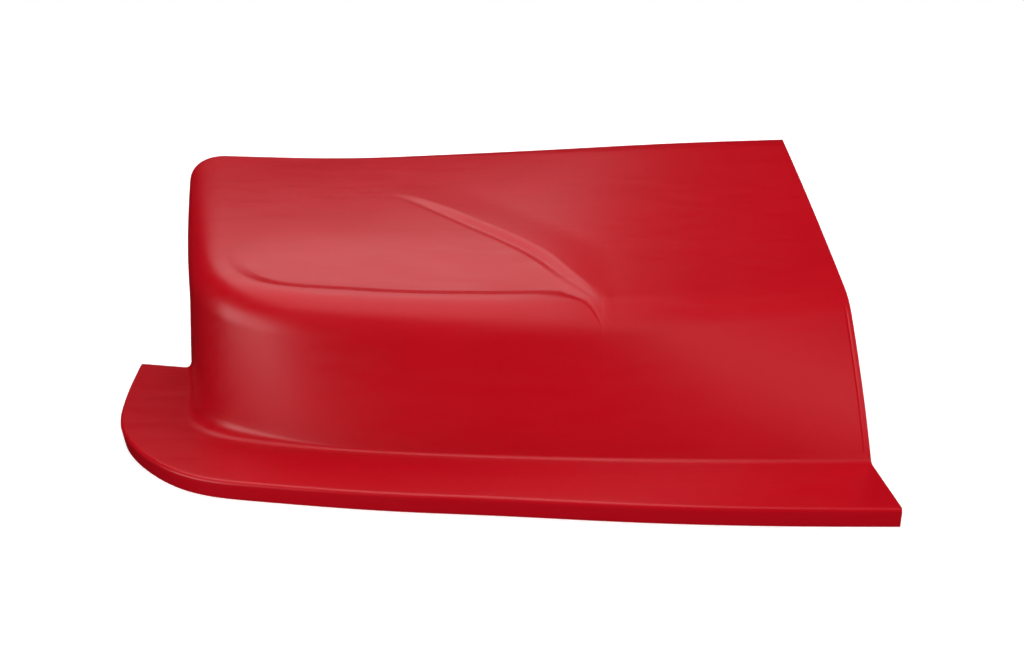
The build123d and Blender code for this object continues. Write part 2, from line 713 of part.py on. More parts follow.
def brace_tube(s):
    pivot = pivot_spot(s)
    tab = Box(TAB_THICK, 2 * TUBE_R, TUBE_SHOULDER + 2)
    tube = hanging(pivot, TUBE_SHOULDER, TUBE_END, TUBE_R)
    tube += across(pivot, TAB_THICK, TUBE_R)
    tube += Pos(pivot - Vector(0, 0, TUBE_SHOULDER / 2 + 1)) * tab
    tube -= hanging(pivot, TUBE_SHOULDER + 10, TUBE_END, TUBE_BORE_R)
    slot = Pos(pivot + Vector(0, TUBE_R, -TUBE_END + 10)) * Box(2, TUBE_R, 24)
    return tube - slot - across(pivot, TAB_THICK, PIVOT_R + FIT)


def brace_collar(s):
    pivot = pivot_spot(s)
    collar = hanging(pivot, COLLAR_LOW - COLLAR_WIDTH, COLLAR_LOW, COLLAR_R)
    lug_at = pivot + Vector(0, COLLAR_R, -COLLAR_MID)
    collar += Pos(lug_at) * Box(LUG, LUG, COLLAR_WIDTH)
    collar -= hanging(pivot, COLLAR_LOW - COLLAR_WIDTH, COLLAR_LOW, TUBE_R + FIT)
    collar -= Pos(lug_at + Vector(0, 2, 0)) * Box(COLLAR_SPLIT, LUG + 6, COLLAR_WIDTH)
    screw_at = pivot + Vector(0, LUG_Y, -COLLAR_MID)
    return collar - across(screw_at, LUG, SCREW_R + FIT)


def brace_clamp_screw(s):
    lug_at = pivot_spot(s) + Vector(0, LUG_Y, -COLLAR_MID)
    screw = across(lug_at, LUG + SCREW_HEAD, SCREW_R)
    screw += across(lug_at + Vector((LUG + SCREW_HEAD) / 2, 0, 0), SCREW_HEAD, SCREW_HEAD_R)
    screw += across(lug_at - Vector((LUG + SCREW_NUT) / 2, 0, 0), SCREW_NUT, SCREW_HEAD_R)
    return screw - hexagon(lug_at, LUG / 2 + SCREW_HEAD, SCREW_KEY, SCREW_HEAD)


def brace_rod(s):
    pivot = pivot_spot(s)
    neck = ROD_EYE - 16
    tab_top = neck - 6
    rod = hanging(pivot, ROD_TOP, neck, ROD_R)
    tab = Box(TAB_THICK, 2 * ROD_R, ROD_EYE - tab_top)
    rod += Pos(pivot - Vector(0, 0, (tab_top + ROD_EYE) / 2)) * tab
    eye = pivot - Vector(0, 0, ROD_EYE)
    rod += across(eye, TAB_THICK, ROD_EYE_R)
    return rod - across(eye, TAB_THICK, PIVOT_R + FIT)


def write(node, shape):
    solids = shape if isinstance(shape, list) else [shape]
    solids = [solid for item in solids for solid in item.solids()]
    export_step(Compound(children=solids) if len(solids) > 1 else solids[0], f"parts/{node}.step")
    return solids


def main():
    os.makedirs("parts", exist_ok=True)
    write("nose_skin", nose_skin())
    write("centre_backing_strip", centre_backing_strip())
    write("centre_inserts", centre_inserts())
    write("lip_angle", lip_angle())
    write("lip_clip_nuts", lip_clip_nuts())
    write("rear_stiffener", rear_stiffener())
    write("rear_studs", rear_studs())
    write("edge_rod", edge_rod())
    write("edge_rod_saddles", edge_rod_saddles())
    write("brace_brackets", brace_brackets())
    write("pivot_bolts", pivot_bolts())
    write("pivot_washers", pivot_washers())
    write("pivot_locknuts", pivot_locknuts())
    for name, s in BRACE_AT.items():
        write(f"{name}_brace_tube", brace_tube(s))
        write(f"{name}_brace_collar", brace_collar(s))
        write(f"{name}_clamp_screw", brace_clamp_screw(s))
        write(f"{name}_brace_rod", brace_rod(s))


main()
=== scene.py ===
import json
import math

import bpy
import numpy as np
from mathutils import Matrix, Vector


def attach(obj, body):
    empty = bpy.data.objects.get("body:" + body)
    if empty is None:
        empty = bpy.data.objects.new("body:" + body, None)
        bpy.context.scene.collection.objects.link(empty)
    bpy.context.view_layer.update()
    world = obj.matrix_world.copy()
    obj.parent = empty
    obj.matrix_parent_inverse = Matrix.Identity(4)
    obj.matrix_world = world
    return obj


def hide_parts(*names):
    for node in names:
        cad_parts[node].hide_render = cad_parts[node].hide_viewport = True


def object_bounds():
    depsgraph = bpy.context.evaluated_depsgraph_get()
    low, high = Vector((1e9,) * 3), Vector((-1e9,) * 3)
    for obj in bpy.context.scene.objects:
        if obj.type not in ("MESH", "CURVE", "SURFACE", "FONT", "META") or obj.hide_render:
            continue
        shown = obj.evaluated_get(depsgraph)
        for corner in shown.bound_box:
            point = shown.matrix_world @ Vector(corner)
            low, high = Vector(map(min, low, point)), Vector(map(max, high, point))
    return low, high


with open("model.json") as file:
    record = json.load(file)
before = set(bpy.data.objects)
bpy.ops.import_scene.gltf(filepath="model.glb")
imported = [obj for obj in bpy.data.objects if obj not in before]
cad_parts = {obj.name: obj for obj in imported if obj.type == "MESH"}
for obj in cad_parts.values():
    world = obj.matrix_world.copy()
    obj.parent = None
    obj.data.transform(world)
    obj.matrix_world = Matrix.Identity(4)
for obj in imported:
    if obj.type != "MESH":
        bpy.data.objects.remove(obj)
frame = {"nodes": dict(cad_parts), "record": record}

# Everything is in metres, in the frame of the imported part: +X to the car's centre
# line, +Y to the rear, +Z up, with the origin on the centre joint face.
NODES = frame["nodes"]
CAD_LOW, CAD_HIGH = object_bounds()
SCENE = bpy.context.scene

# ---------------------------------------------------------------- shape of the moulding
# The outer surface is worked out as  s = out from the centre line, b = back from the
# front of the lip, h = up from the top of the lip.
SKIN = 0.0032
REAR = 0.864
EDGE_ROUND = 0.005
LIP_DROP = 0.001
FLANGE = 0.025
FLANGE_TUCK = 0.004
ORIGIN_B = -CAD_LOW.y
ORIGIN_H = -(CAD_LOW.z + FLANGE + LIP_DROP)

# Stations round the nose, from the centre line to the wheel opening.
LIP = [(0, 0), (0.180, 0.003), (0.340, 0.016), (0.480, 0.034), (0.620, 0.050),
       (0.790, 0.083), (0.905, 0.139), (0.985, 0.249), (1.034, 0.410), (1.061, 0.618)]
FOOT = [(0, 0.152), (0.160, 0.154), (0.300, 0.160), (0.430, 0.169), (0.570, 0.183),
        (0.730, 0.211), (0.838, 0.254), (0.893, 0.312), (0.930, 0.420), (0.973, 0.590)]
KNEE = [(0, 0.325), (0.160, 0.302), (0.300, 0.272), (0.430, 0.250), (0.570, 0.240),
        (0.730, 0.247), (0.843, 0.283), (0.898, 0.346), (0.945, 0.490), (1.017, 0.864)]
FACE_BOW = [0.23, 0.22, 0.20, 0.18, 0.15, 0.12, 0.10, 0.15, 0.30, 0.50]
FACE_SETBACK = [0.026, 0.032, 0.040, 0.046, 0.050, 0.050, 0.046, 0.048, 0.054, 0.062]
DECK_SETBACK = [0.026, 0.028, 0.030, 0.032, 0.032, 0.034, 0.040, 0.048, 0.054, 0.062]
FOOT_ROUND = [0.006, 0.006, 0.006, 0.006, 0.006, 0.009, 0.020, 0.022, 0.014, 0.012]
INWARD_DEG = [0, 0, 2, 4, 8, 18, 42, 66, 78, 90]
REAR_END = [0, 0.150, 0.280, 0.400, 0.520, 0.630, 0.700, 0.740, 0.770, 0.800]

# Deck: its front line and its rear edge, read against s.
DECK_S = [0, 0.160, 0.300, 0.430, 0.570, 0.730, 0.845, 0.905, 1.000]
DECK_FRONT_B = [0.325, 0.300, 0.268, 0.246, 0.240, 0.246, 0.260, 0.275, 0.300]
DECK_FRONT_H = [0.177, 0.177, 0.178, 0.181, 0.185, 0.190, 0.194, 0.196, 0.199]
REAR_S = [0, 0.200, 0.400, 0.600, 0.700, 0.780, 0.850, 0.960]
REAR_H = [0.3275, 0.3205, 0.310, 0.3005, 0.2965, 0.2955, 0.2965, 0.2995]
CROWN_S = [0, 0.300, 0.600, 0.800, 1.000]
CROWN = [0.10, 0.16, 0.30, 0.30, 0.25]

# Lamp-shaped recess: its ledge in front and its step behind, both measured back from
# the knuckle and read against the way round the nose.
RECESS_AT = [0.330, 0.345, 0.360, 0.375, 0.400, 0.425, 0.470,
             0.540, 0.635, 0.700, 0.820, 0.960, 1.070, 1.219]
LEDGE = [-0.082, -0.030, 0.004, 0.018, 0.031, 0.038, 0.040,
         0.040, 0.041, 0.043, 0.036, 0.031, 0.030, 0.030]
STEP = [-0.072, -0.008, 0.031, 0.0585, 0.099, 0.141, 0.1995,
        0.268, 0.350, 0.393, 0.430, 0.397, 0.251, 0.090]
TIP_AT = RECESS_AT[0]   # the recess starts here in a point
TIP_RUN = 0.130
OUTER_AT = 0.780      # the ledge runs out from here outwards
OUTER_RUN = 0.210
LEDGE_WIDTH = 0.028   # the ledge falls back to the lower floor over this width
LEDGE_DEPTH = 0.006
FLOOR_RUN = 0.180     # the floor climbs back towards the deck over this length
STEP_WIDTH = 0.018
STEP_DEPTH = 0.0015   # what is left of the floor's depth at the foot of the step
VALLEY_WIDTH = 0.012  # narrow valley along the foot of the step
VALLEY_DEPTH = 0.0012
CREST = 0.0030        # low crest along the top of the step
CREST_BEHIND = 0.100  # how far it reaches behind the step
CREST_TIP_RUN = 0.100
SOFT_FROM = 0.560     # from here outwards the step softens away
SOFT_RUN = 0.220

LEDGE_SHARE = 0.4     # the most of the way to the step that the ledge's fall takes
CREST_START = 0.3     # share of the crest's reach that it has at the tip

# Joggle groove beside the centre edge.
GROOVE_AT = 0.007
GROOVE_WIDTH = 0.005
GROOVE_DEPTH = 0.0012
GROOVE_FOOT_RUN = 0.020   # it grows over this length from the foot of the face
GROOVE_TOP_RUN = 0.040    # and fades over this length before the knuckle

# How curves leave their ends, as a share of a length.
DECK_PULL = 0.35      # lines of the deck, of the distance between their ends
BEND_PULL = 0.6       # the bends at the knuckle and at the foot of the face
ARC_PULL = 0.55       # a quarter of a circle, of its radius
RAMP_CORNER = 0.3     # rounding at each end of a ramp, of its length

# Joint flange of the moulding, and the threads of the hardware.
FLANGE_THICK = 0.0032
FLANGE_FROM = 0.030   # where it starts, along the centre line from the face's foot
FLANGE_SHORT = 0.010  # how far short of the rear edge it ends
CENTRE_FLANGE = 0.027
INSERT_AT = [0.070, 0.170, 0.320, 0.440, 0.560, 0.680, 0.775]
INSERT_DEPTH = 0.015
INSERT_HEAD_R = 0.0055
THREAD_PITCH = 0.001

SKIN_TRIM = 0.0005    # broken edges of the moulding and of its joint flange
FLANGE_TRIM = 0.0003
TRIM_ANGLE = math.radians(55)

RED = (0.497, 0.0, 0.007)
DULL_METAL = 0.55     # oxidised or plated metal: part of it scatters light like paint

# Mesh density: points between the stops of one line over the surface.
NUDGE = 0.001         # a short step along a line, to read its direction
ON_EDGE = 1e-5        # this close to an edge is on it
PATH_POINTS = 1200
BEND_POINTS = 160
HOLE_POINTS = 48
FLANGE_ROWS = 4
EDGE_ROWS = 8
LIP_ROWS = 10
FOOT_ROWS = 10
STOP_ROWS = [16, 22, 4, 22, 24, 24, 16, 12]
COLUMNS = [20, 60, 50, 40, 140]
BEND_STOP = -0.045    # rows are close together from here over the knuckle
BEND_CLEAR = 0.030    # or from this far in front of the ledge, if that is lower
CLOSE_PART = 0.3      # share of a stretch beside a ridge that has close rows
TIP_COLUMNS = [0.050, 0.150]   # columns thin out at these distances past the recess's tip


def spline(knots, values, where):
    """Natural cubic spline through the values at the knots, read at 'where'."""
    x = np.asarray(knots, float)
    y = np.asarray(values, float)
    gap = np.diff(x)
    count = len(x)
    system = np.eye(count)
    right = np.zeros(y.shape)
    for i in range(1, count - 1):
        system[i, i - 1:i + 2] = gap[i - 1], 2 * (gap[i - 1] + gap[i]), gap[i]
        right[i] = 6 * ((y[i + 1] - y[i]) / gap[i] - (y[i] - y[i - 1]) / gap[i - 1])
    bend = np.linalg.solve(system, right)
    t = np.clip(np.asarray(where, float), x[0], x[-1])
    i = np.clip(np.searchsorted(x, t, side="right") - 1, 0, count - 2)
    width = gap[i]
    before = t - x[i]
    after = x[i + 1] - t
    if y.ndim > 1 and t.ndim > 0:
        width, before, after = width[:, None], before[:, None], after[:, None]
    cubic = (bend[i] * after ** 3 + bend[i + 1] * before ** 3) / (6 * width)
    low = (y[i] / width - bend[i] * width / 6) * after
    high = (y[i + 1] / width - bend[i + 1] * width / 6) * before
    return cubic + low + high


STATIONS = np.concatenate([[0], np.cumsum(np.hypot(*np.diff(np.array(FOOT, float), axis=0).T))])
ROUND = STATIONS[-1]


def at(table, t):
    return spline(STATIONS, table, t)


def unit(vector):
    return vector / np.linalg.norm(vector)


def smooth(x):
    """0 to 1 with no corner at either end."""
    x = np.clip(x, 0, 1)
    return x * x * (3 - 2 * x)


def ramp(x, corner=RAMP_CORNER):
    """0 to 1 along a straight slope with a short rounding at each end."""
    x = np.clip(x, 0, 1)
    slope = 1 / (1 - corner)
    start = slope * x * x / (2 * corner)
    middle = slope * (x - corner / 2)
    end = 1 - slope * (1 - x) ** 2 / (2 * corner)
    return np.where(x < corner, start, np.where(x > 1 - corner, end, middle))


def straight(start, end, count):
    w = np.linspace(0, 1, count)[:, None]
    return start + (end - start) * w


def bezier(p0, p1, p2, p3, count):
    w = np.linspace(0, 1, count)[:, None]
    return p0 * (1 - w) ** 3 + 3 * p1 * w * (1 - w) ** 2 + 3 * p2 * w * w * (1 - w) + p3 * w ** 3


def lengths(points):
    return np.concatenate([[0], np.cumsum(np.linalg.norm(np.diff(points, axis=0), axis=1))])


def deck_height(s, b):
    """Height of the plain deck, without the recess."""
    front_b = spline(DECK_S, DECK_FRONT_B, s)
    front_h = spline(DECK_S, DECK_FRONT_H, s)
    rear_h = spline(REAR_S, REAR_H, s)
    w = (b - front_b) / (REAR - front_b)
    return front_h + (rear_h - front_h) * (w + spline(CROWN_S, CROWN, s) * w * (1 - w))


def upper_path(t):
    """The line from the foot of the face over the knuckle to the rear edge."""
    foot = at(FOOT, t)
    knee = at(KNEE, t)
    turn = math.radians(float(at(INWARD_DEG, t)))
    inward = np.array([-math.sin(turn), math.cos(turn)])
    end = np.array([float(at(REAR_END, t)), REAR])
    reach = DECK_PULL * np.linalg.norm(end - knee)
    rearward = np.array([0, reach * (1 - (t / ROUND) ** 4)])
    plan = bezier(knee, knee + inward * reach, end - rearward, end, PATH_POINTS)
    deck = np.column_stack([plan, deck_height(plan[:, 0], plan[:, 1])])
    q = np.linspace(0, 1, PATH_POINTS)[:, None]
    bowed = q - float(at(FACE_BOW, t)) * q * (1 - q)
    face = np.hstack([foot + (knee - foot) * bowed, deck[0, 2] * q])
    up = lengths(face)
    i = int(np.searchsorted(up, up[-1] - float(at(FACE_SETBACK, t))))
    j = int(np.searchsorted(lengths(deck), float(at(DECK_SETBACK, t))))
    leave = unit(face[i] - face[i - 1]) * float(at(FACE_SETBACK, t)) * BEND_PULL
    arrive = unit(deck[j + 1] - deck[j]) * float(at(DECK_SETBACK, t)) * BEND_PULL
    bend = bezier(face[i], face[i] + leave, deck[j] - arrive, deck[j], BEND_POINTS)
    path = np.vstack([face[:i], bend, deck[j + 1:]])
    along = lengths(path)
    return path, along, along[i + BEND_POINTS // 2]


def along_path(path, along, where):
    return np.column_stack([np.interp(where, along, path[:, k]) for k in range(3)])


def slant(line, t):
    """How much longer a width across a line becomes when measured along the path."""
    t = np.maximum(t, TIP_AT + NUDGE)
    turn = (spline(RECESS_AT, line, t + NUDGE) - spline(RECESS_AT, line, t - NUDGE)) / (2 * NUDGE)
    return np.hypot(1, turn)


def recess_lines(t):
    """Where the ledge and the step are on the lines t, and how wide along those lines."""
    ledge = spline(RECESS_AT, LEDGE, t)
    step = spline(RECESS_AT, STEP, t)
    ledge_width = np.minimum(LEDGE_WIDTH * slant(LEDGE, t), LEDGE_SHARE * (step - ledge))
    return ledge, ledge_width, step, STEP_WIDTH * slant(STEP, t)


def step_curve():
    """The step seen from above, and how far round the nose each of its points is."""
    rounds = np.linspace(TIP_AT, SOFT_FROM + SOFT_RUN, 100)
    points = []
    for t in rounds:
        path, along, knuckle = upper_path(t)
        points.append(along_path(path, along, [knuckle + spline(RECESS_AT, STEP, t)])[0, :2])
    finer = np.linspace(rounds[0], rounds[-1], 1000)
    return np.column_stack([np.interp(finer, rounds, axis) for axis in np.array(points).T]), finer


def relief(t, where, line, lines, edge):
    """How far one line stands above the plain deck (below it where negative)."""
    ledge, ledge_width, step, step_width = lines
    edge_points, edge_round = edge
    away = np.linalg.norm(line[:, None, :2] - edge_points[None], axis=2)
    nearest = edge_round[away.argmin(axis=1)]
    away = away.min(axis=1)
    # the step with its crest grows from the tip and softens away outwards
    grown = smooth((nearest - TIP_AT) / CREST_TIP_RUN)
    firm = grown * (1 - smooth((nearest - SOFT_FROM) / SOFT_RUN))
    crest_reach = CREST_BEHIND * (CREST_START + (1 - CREST_START) * grown)
    behind = CREST * firm * (1 - smooth(away / crest_reach))
    valley = VALLEY_DEPTH * firm * (1 - smooth(away / VALLEY_WIDTH))
    # the floor, sunk behind the ledge
    tip = smooth((t - TIP_AT) / TIP_RUN)
    outer = 1 - smooth((t - OUTER_AT) / OUTER_RUN)
    firm_here = 1 - smooth((t - SOFT_FROM) / SOFT_RUN)
    floor_start = ledge + ledge_width
    share = smooth((where - floor_start) / min(FLOOR_RUN, step - floor_start))
    depth = LEDGE_DEPTH + (STEP_DEPTH * firm_here - LEDGE_DEPTH) * share
    sunk = depth * tip * outer * ramp((where - ledge) / ledge_width)
    climb = ramp((where - step) / step_width)
    return (behind + sunk) * climb - sunk - valley


def rows(line, path, along, knuckle, foot_round):
    """Distances along one line at which the mesh has points."""
    ledge, ledge_width, step, step_width = line
    end = along[-1] - knuckle
    floor = ledge + ledge_width
    top = step + step_width
    stops = knuckle + np.array([
        foot_round - knuckle, min(BEND_STOP, ledge - BEND_CLEAR), ledge - NUDGE,
        ledge + CLOSE_PART * ledge_width, floor, step - CLOSE_PART * (step - floor),
        top + NUDGE, top + CLOSE_PART * (end - top), end])
    runs = [np.linspace(a, b, n + 1)[:-1] for a, b, n in zip(stops, stops[1:], STOP_ROWS)]
    return np.concatenate(runs + [[along[-1]]])


def below(t, path, start):
    """The flange, the lip and the bend at the foot of the face, up to the start point."""
    foot_round = float(at(FOOT_ROUND, t))
    foot = path[0]
    lip = np.append(at(LIP, t), -LIP_DROP)
    out = unit((lip - foot) * [1, 1, 0])
    down = np.array([0, 0, -1.0])
    edge_top = lip - out * EDGE_ROUND
    edge_front = lip + down * EDGE_ROUND
    bottom = lip + down * FLANGE - out * FLANGE_TUCK
    lip_foot = foot + out * foot_round
    climb = unit(path[1] - path[0])
    pull = EDGE_ROUND * ARC_PULL
    return np.vstack([
        straight(bottom, edge_front, FLANGE_ROWS + 1)[:-1],
        bezier(edge_front, edge_front - down * pull, edge_top + out * pull, edge_top, EDGE_ROWS + 1)[:-1],
        straight(edge_top, lip_foot, LIP_ROWS + 1)[:-1],
        bezier(lip_foot, lip_foot - out * foot_round * BEND_PULL,
               start - climb * foot_round * BEND_PULL, start, FOOT_ROWS + 1)[:-1],
    ])


def surface_grid(columns):
    """Points of the whole outer surface: one row for each line t."""
    lines = recess_lines(columns)
    paths = [upper_path(t) for t in columns]
    wheres = []
    uppers = []
    for k, (path, along, knuckle) in enumerate(paths):
        where = rows([line[k] for line in lines], path, along, knuckle, float(at(FOOT_ROUND, columns[k])))
        wheres.append(where - knuckle)
        uppers.append(along_path(path, along, where))
    where = np.array(wheres)
    upper = np.array(uppers)
    edge = step_curve()
    for k, t in enumerate(columns):
        upper[k, :, 2] += relief(t, where[k], upper[k], [line[k] for line in lines], edge)
    # joggle groove beside the centre edge, on the face only
    beside = np.cos(np.clip(abs(columns - GROOVE_AT) / (GROOVE_WIDTH / 2), 0, 1) * math.pi / 2) ** 2
    from_foot = where - where[:, :1]
    to_knuckle = (where + GROOVE_TOP_RUN) / GROOVE_TOP_RUN
    on_face = smooth(from_foot / GROOVE_FOOT_RUN) * (1 - smooth(to_knuckle))
    upper[..., 1] += GROOVE_DEPTH * beside[:, None] * on_face
    lower = [below(t, paths[k][0], upper[k, 0]) for k, t in enumerate(columns)]
    return np.concatenate([np.array(lower), upper], axis=1)


def normals(grid):
    """Outward unit normals of a grid of points."""
    normal = np.cross(np.gradient(grid, axis=0), np.gradient(grid, axis=1))
    normal /= np.linalg.norm(normal, axis=2, keepdims=True)
    normal[-1] = normal[-2]
    normal[grid[..., 0] < ON_EDGE, 0] = 0
    normal[grid[..., 1] > REAR - ON_EDGE, 1] = 0
    return normal / np.linalg.norm(normal, axis=2, keepdims=True)


def row_frame(points):
    """From s, b, h to the part's X, Y, Z."""
    return np.stack([-points[..., 0], points[..., 1] - ORIGIN_B, points[..., 2] - ORIGIN_H], -1)


def skin_columns():
    """Ways round the nose, closest together at the groove and at the recess's tip."""
    stops = [0, 2 * GROOVE_AT, TIP_AT] + [TIP_AT + past for past in TIP_COLUMNS] + [ROUND]
    runs = [np.linspace(a, b, n + 1)[:-1] for a, b, n in zip(stops, stops[1:], COLUMNS)]
    return np.concatenate(runs + [[ROUND]])


def nose_skin_mesh():
    grid = surface_grid(skin_columns())
    normal = normals(grid)
    outer = row_frame(grid)
    inner = row_frame(grid - normal * SKIN)
    columns, up = grid.shape[:2]
    count = columns * up
    points = np.vstack([outer.reshape(-1, 3), inner.reshape(-1, 3)])
    index = np.arange(count).reshape(columns, up)
    a, b, c, d = index[:-1, :-1], index[1:, :-1], index[1:, 1:], index[:-1, 1:]
    front = np.stack([a, b, c, d], -1).reshape(-1, 4)
    back = np.stack([d, c, b, a], -1).reshape(-1, 4) + count
    border = np.concatenate([index[0, ::-1], index[1:, 0], index[-1, 1:], index[-2:0:-1, -1]])
    ahead = np.roll(border, -1)
    rim = np.stack([ahead, border, border + count, ahead + count], -1)
    faces = np.vstack([front, back, rim])
    mesh = bpy.data.meshes.new("nose_skin_surface")
    mesh.from_pydata(points.tolist(), [], faces.tolist())
    mesh.polygons.foreach_set("use_smooth", np.ones(len(faces), bool))
    inside = np.zeros(len(faces), np.int32)
    inside[len(front):len(front) + len(back)] = 1
    mesh.polygons.foreach_set("material_index", inside)
    mesh.update()
    return mesh


def add(name, mesh):
    piece = bpy.data.objects.new(name, mesh)
    SCENE.collection.objects.link(piece)
    return piece


def trimmed_edges(piece, width):
    soften = piece.modifiers.new("trimmed_edge", "BEVEL")
    soften.width = width
    soften.segments = 2
    soften.limit_method = "ANGLE"
    soften.angle_limit = TRIM_ANGLE


def nose_skin():
    piece = add("nose_moulding", nose_skin_mesh())
    trimmed_edges(piece, SKIN_TRIM)
    piece.data.materials.append(moulding_outside())
    piece.data.materials.append(moulding_inside())
    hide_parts("nose_skin")
    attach(piece, "nose")


def centre_line(depth, start, end, count=80):
    """Points on the centre plane a given depth below the surface, as b, h pairs."""
    path, along, knuckle = upper_path(0)
    where = np.linspace(start, end, count)
    here = along_path(path, along, where)
    ahead = along_path(path, along, where + NUDGE)
    tangent = (ahead - here) / np.linalg.norm(ahead - here, axis=1)[:, None]
    return np.column_stack([here[:, 1] + tangent[:, 2] * depth, here[:, 2] - tangent[:, 1] * depth])


def closed_loop(outline, points):
    loop = outline.splines.new("POLY")
    loop.points.add(len(points) - 1)
    for place, (b, h) in zip(loop.points, points):
        place.co = (b - ORIGIN_B, h - ORIGIN_H, 0, 1)
    loop.use_cyclic_u = True


def centre_flange():
    """The moulding's joint flange, cut as a flat outline with a hole for each insert."""
    end = lengths(upper_path(0)[0])[-1] - FLANGE_SHORT
    top = centre_line(SKIN / 2, FLANGE_FROM, end)
    low = centre_line(CENTRE_FLANGE, FLANGE_FROM, end)
    outline = bpy.data.curves.new("flange_outline", "CURVE")
    outline.dimensions = "2D"
    outline.fill_mode = "BOTH"
    outline.extrude = FLANGE_THICK / 2
    closed_loop(outline, np.vstack([top, low[::-1]]))
    turn = np.linspace(0, 2 * math.pi, HOLE_POINTS, endpoint=False)
    for where in INSERT_AT:
        centre = centre_line(INSERT_DEPTH, where, where + NUDGE, 2)[0]
        closed_loop(outline, centre + INSERT_HEAD_R * np.column_stack([np.cos(turn), np.sin(turn)]))
    cut = add("flange_outline", outline)
    # the outline's own x, y and z become the part's Y, Z and X
    stand_up = Matrix(((0, 0, 1, -FLANGE_THICK / 2), (1, 0, 0, 0), (0, 1, 0, 0), (0, 0, 0, 1)))
    mesh = bpy.data.meshes.new_from_object(cut)
    mesh.transform(stand_up)
    bpy.data.objects.remove(cut)
    piece = add("centre_joint_flange", mesh)
    mesh.materials.clear()
    mesh.materials.append(moulding_inside())
    trimmed_edges(piece, FLANGE_TRIM)
    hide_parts("nose_skin")
    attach(piece, "nose")


# ---------------------------------------------------------------- materials
NOISE_LOW = 0.3       # most of a noise lies between these two
NOISE_HIGH = 0.7
ZINC = (0.42, 0.43, 0.45)
THREAD_DEPTH = 0.00035
WAVE_FACTOR = 20      # the wave texture multiplies lengths by this


class Finish:
    """A Principled material whose colour, roughness and bump come from noise in real sizes."""

    def __init__(self, name, color, rough, metallic=0.0):
        self.material = bpy.data.materials.new(name)
        self.material.use_nodes = True
        self.tree = self.material.node_tree
        self.shader = self.tree.nodes["Principled BSDF"]
        self.shader.inputs["Metallic"].default_value = metallic
        self.color = color
        self.rough = rough
        self.place = self.node("ShaderNodeTexCoord").outputs["Object"]

    def node(self, kind, **inputs):
        made = self.tree.nodes.new(kind)
        for name, value in inputs.items():
            self.feed(made.inputs[name.replace("_", " ")], value)
        return made

    def feed(self, socket, value):
        if isinstance(value, bpy.types.NodeSocket):
            self.tree.links.new(value, socket)
        else:
            socket.default_value = value

    def noise(self, size, stretch=(1, 1, 1), detail=3.0):
        """Noise with features of about this size in metres, drawn out along an axis by 'stretch'."""
        scaled = self.node("ShaderNodeMapping", Vector=self.place,
                           Scale=tuple(1 / (size * along) for along in stretch))
        grain = self.node("ShaderNodeTexNoise", Vector=scaled.outputs["Vector"], Scale=1.0, Detail=detail)
        return grain.outputs["Fac"]

    def between(self, factor, low, high):
        spread = self.node("ShaderNodeMapRange", Value=factor, To_Min=low, To_Max=high)
        spread.inputs["From Min"].default_value = NOISE_LOW
        spread.inputs["From Max"].default_value = NOISE_HIGH
        return spread.outputs["Result"]

    def mottle(self, factor, change):
        """Colour that varies either side of the base by 'change'."""
        ramp = self.node("ShaderNodeValToRGB", Fac=factor)
        for stop, share in zip(ramp.color_ramp.elements, (1 - change, 1 + change)):
            stop.color = (*[min(1, part * share) for part in self.color], 1)
        ramp.color_ramp.elements[0].position = NOISE_LOW
        ramp.color_ramp.elements[1].position = NOISE_HIGH
        self.feed(self.shader.inputs["Base Color"], ramp.outputs["Color"])

    def roughen(self, factor, change):
        rough = self.between(factor, self.rough - change, self.rough + change)
        self.feed(self.shader.inputs["Roughness"], rough)

    def bumps(self, *layers):
        """Bump from (height, depth in metres) pairs, one on another."""
        normal = None
        for height, depth in layers:
            bump = self.node("ShaderNodeBump", Height=height, Distance=depth)
            if normal:
                self.feed(bump.inputs["Normal"], normal)
            normal = bump.outputs["Normal"]
        self.feed(self.shader.inputs["Normal"], normal)


def moulding_outside():
    """Self-coloured sheet with a semi-gloss face: faint waves, fine peel, rub marks."""
    finish = Finish("moulded_red", RED, 0.33)
    finish.mottle(finish.noise(0.160), 0.025)
    finish.roughen(finish.noise(0.012, (6, 1, 1), 6.0), 0.035)
    finish.bumps((finish.noise(0.090, detail=1.0), 0.00010), (finish.noise(0.0016), 0.000006))
    return finish.material


def moulding_inside():
    """The unpolished back of the sheet: duller, with a coarser peel."""
    finish = Finish("moulded_red_inside", RED, 0.60)
    finish.mottle(finish.noise(0.060), 0.06)
    finish.roughen(finish.noise(0.008), 0.08)
    finish.bumps((finish.noise(0.0030), 0.00005))
    return finish.material


def rolled_aluminium():
    finish = Finish("mill_aluminium", (0.56, 0.57, 0.58), 0.36, DULL_METAL)
    finish.mottle(finish.noise(0.030), 0.05)
    finish.roughen(finish.noise(0.0012, (40, 1, 1)), 0.08)
    finish.bumps((finish.noise(0.0008, (60, 1, 1)), 0.00001))
    return finish.material


def drawn_aluminium(name, stretch):
    """Aluminium with fine draw lines along the given axis."""
    finish = Finish(name, (0.50, 0.51, 0.53), 0.30, DULL_METAL)
    finish.mottle(finish.noise(0.020), 0.05)
    finish.roughen(finish.noise(0.0010, stretch), 0.09)
    finish.bumps((finish.noise(0.0006, stretch), 0.000008))
    return finish.material


def zinc_plate():
    finish = Finish("zinc_plate", ZINC, 0.30, DULL_METAL)
    finish.mottle(finish.noise(0.006), 0.12)
    finish.roughen(finish.noise(0.003), 0.10)
    finish.bumps((finish.noise(0.0006), 0.000008))
    return finish.material


